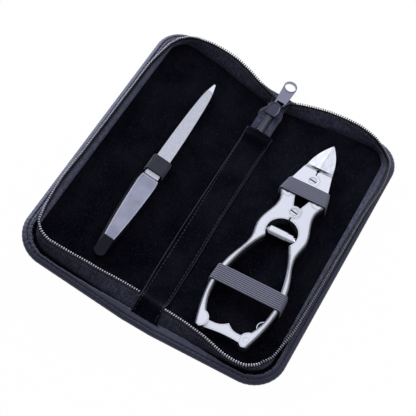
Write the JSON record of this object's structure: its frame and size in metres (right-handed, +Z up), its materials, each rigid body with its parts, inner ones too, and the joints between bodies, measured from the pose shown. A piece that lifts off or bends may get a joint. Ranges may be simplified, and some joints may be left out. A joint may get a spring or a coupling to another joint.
{
  "type": "manicure set case",
  "caption": "Zip-around manicure case lying open, velvet-lined, with a locking nail nipper under elastic bands and a nail file under a loop.",
  "frame": {"origin": "centre of the right half's underside, on the surface that the case lies on", "axes": "+X away from the spine across the right half, +Y along the spine towards the end with the zip slider, +Z up from the underside"},
  "size_m": [0.1546, 0.1845, 0.0292],
  "materials": {
    "leather": "fine-grained, soft sheen",
    "board": "grey fibre board",
    "velvet": "short pile",
    "zip_tape": "twill",
    "zip_teeth": "bright",
    "elastic": "ribbed webbing",
    "elastic_dark": "ribbed webbing",
    "slider_metal": "gunmetal",
    "pull_metal": "satin",
    "nipper_steel": "satin",
    "polished_steel": "polished",
    "spring_steel": "bright",
    "file_steel": "sparkling abrasive coat",
    "file_plastic": "gloss"
  },
  "bodies": {
    "right_leaf": {"right_cover": "leather", "right_board": "board", "right_lining": "velvet", "right_zip_tape": "zip_tape", "right_zip_teeth": "zip_teeth", "nipper_band_upper": "elastic", "nipper_band_lower": "elastic"},
    "spine": {"spine_cover": "leather", "spine_board": "board", "spine_lining": "velvet", "zip_tail_tape": "zip_tape", "zip_tail_chain": "zip_teeth"},
    "left_leaf": {"left_cover": "leather", "left_board": "board", "left_lining": "velvet", "left_zip_tape": "zip_tape", "left_zip_teeth": "zip_teeth", "file_band": "elastic_dark"},
    "slider": {"zip_slider": "slider_metal"},
    "pull": {"zip_pull": "pull_metal"},
    "nipper_pivot": {"nipper_rear_screw": "polished_steel"},
    "right_handle": {"nipper_handle_right": "nipper_steel", "nipper_pin_right": "polished_steel", "nipper_lock_pin": "polished_steel", "nipper_lock_spring": "spring_steel", "barrel_stud_right": "polished_steel"},
    "left_handle": {"nipper_handle_left": "nipper_steel", "nipper_pin_left": "polished_steel", "barrel_stud_left": "polished_steel"},
    "right_jaw": {"nipper_jaw_right": "nipper_steel", "nipper_front_screw": "polished_steel"},
    "left_jaw": {"nipper_jaw_left": "nipper_steel"},
    "plunger": {"barrel_plunger": "polished_steel", "barrel_coil": "spring_steel"},
    "sleeve": {"barrel_sleeve": "polished_steel"},
    "lock_lever": {"nipper_lock_lever": "nipper_steel"},
    "nail_file": {"file_blade": "file_steel", "file_handle": "file_plastic"}
  },
  "joints": [
    {"name": "case_fold", "type": "hinge", "parent": "right_leaf", "child": "spine", "pos_m": [-0.035, -0.0875, 0], "axis": [0, -1, 0], "range_deg": [-82, 8]},
    {"name": "left_fold", "type": "hinge", "parent": "spine", "child": "left_leaf", "pos_m": [-0.05233, -0.0875, 0.00244], "axis": [0, -1, 0], "range_deg": [-82, 8]},
    {"name": "zip_slide", "type": "slide", "parent": "spine", "child": "slider", "axis": [0.0097, 0.9976, 0.0691], "range_m": [-0.006, 0], "deforming": ["zip_tail_tape", "zip_tail_chain"]},
    {"name": "pull_swing", "type": "hinge", "parent": "slider", "child": "pull", "pos_m": [-0.04338, 0.07707, 0.00615], "axis": [0.9903, 0, -0.1392], "range_deg": [0, 40]},
    {"name": "nipper_lift", "type": "slide", "parent": "right_leaf", "child": "nipper_pivot", "axis": [0, 0, 1], "range_m": [0, 0.045], "deforming": ["nipper_band_upper", "nipper_band_lower"]},
    {"name": "handle_open", "type": "hinge", "parent": "nipper_pivot", "child": "right_handle", "pos_m": [-0.0015, 0.0136, 0.003], "axis": [0, 0, 1], "range_deg": [0, 5.5]},
    {"name": "left_handle_open", "type": "hinge", "parent": "nipper_pivot", "child": "left_handle", "pos_m": [-0.0015, 0.0136, 0.003], "axis": [0, 0, -1], "range_deg": [0, 5.5]},
    {"name": "right_jaw_turn", "type": "hinge", "parent": "right_handle", "child": "right_jaw", "pos_m": [0.0077, 0.0248, 0.003], "axis": [0, 0, -1], "range_deg": [0, 10.5]},
    {"name": "left_jaw_turn", "type": "hinge", "parent": "right_jaw", "child": "left_jaw", "pos_m": [-0.0015, 0.0376, 0.003], "axis": [0, 0, 1], "range_deg": [0, 9.8]},
    {"name": "plunger_turn", "type": "hinge", "parent": "right_handle", "child": "plunger", "pos_m": [0.0061, -0.0015, 0.0062], "axis": [0, 0, -1], "range_deg": [0, 5.5]},
    {"name": "sleeve_slide", "type": "slide", "parent": "plunger", "child": "sleeve", "axis": [-1, 0, 0], "range_m": [0, 0.00287], "deforming": ["barrel_coil"]},
    {"name": "lock_swing", "type": "hinge", "parent": "right_handle", "child": "lock_lever", "pos_m": [0.0112, -0.0688, 0.003], "axis": [0, 0, -1], "range_deg": [0, 60]},
    {"name": "file_lift", "type": "slide", "parent": "left_leaf", "child": "nail_file", "axis": [0.2756, 0, 0.9613], "range_m": [0, 0.04], "deforming": ["file_band"]}
  ],
  "couplings": [
    {"joint": "left_fold", "follows": "case_fold", "ratio": 1},
    {"joint": "left_handle_open", "follows": "handle_open", "ratio": 1},
    {"joint": "right_jaw_turn", "follows": "handle_open", "ratio": 1.8823},
    {"joint": "left_jaw_turn", "follows": "handle_open", "ratio": 1.7647},
    {"joint": "plunger_turn", "follows": "handle_open", "ratio": 1},
    {"joint": "sleeve_slide", "follows": "handle_open", "m_per_rad": 0.029405}
  ]
}
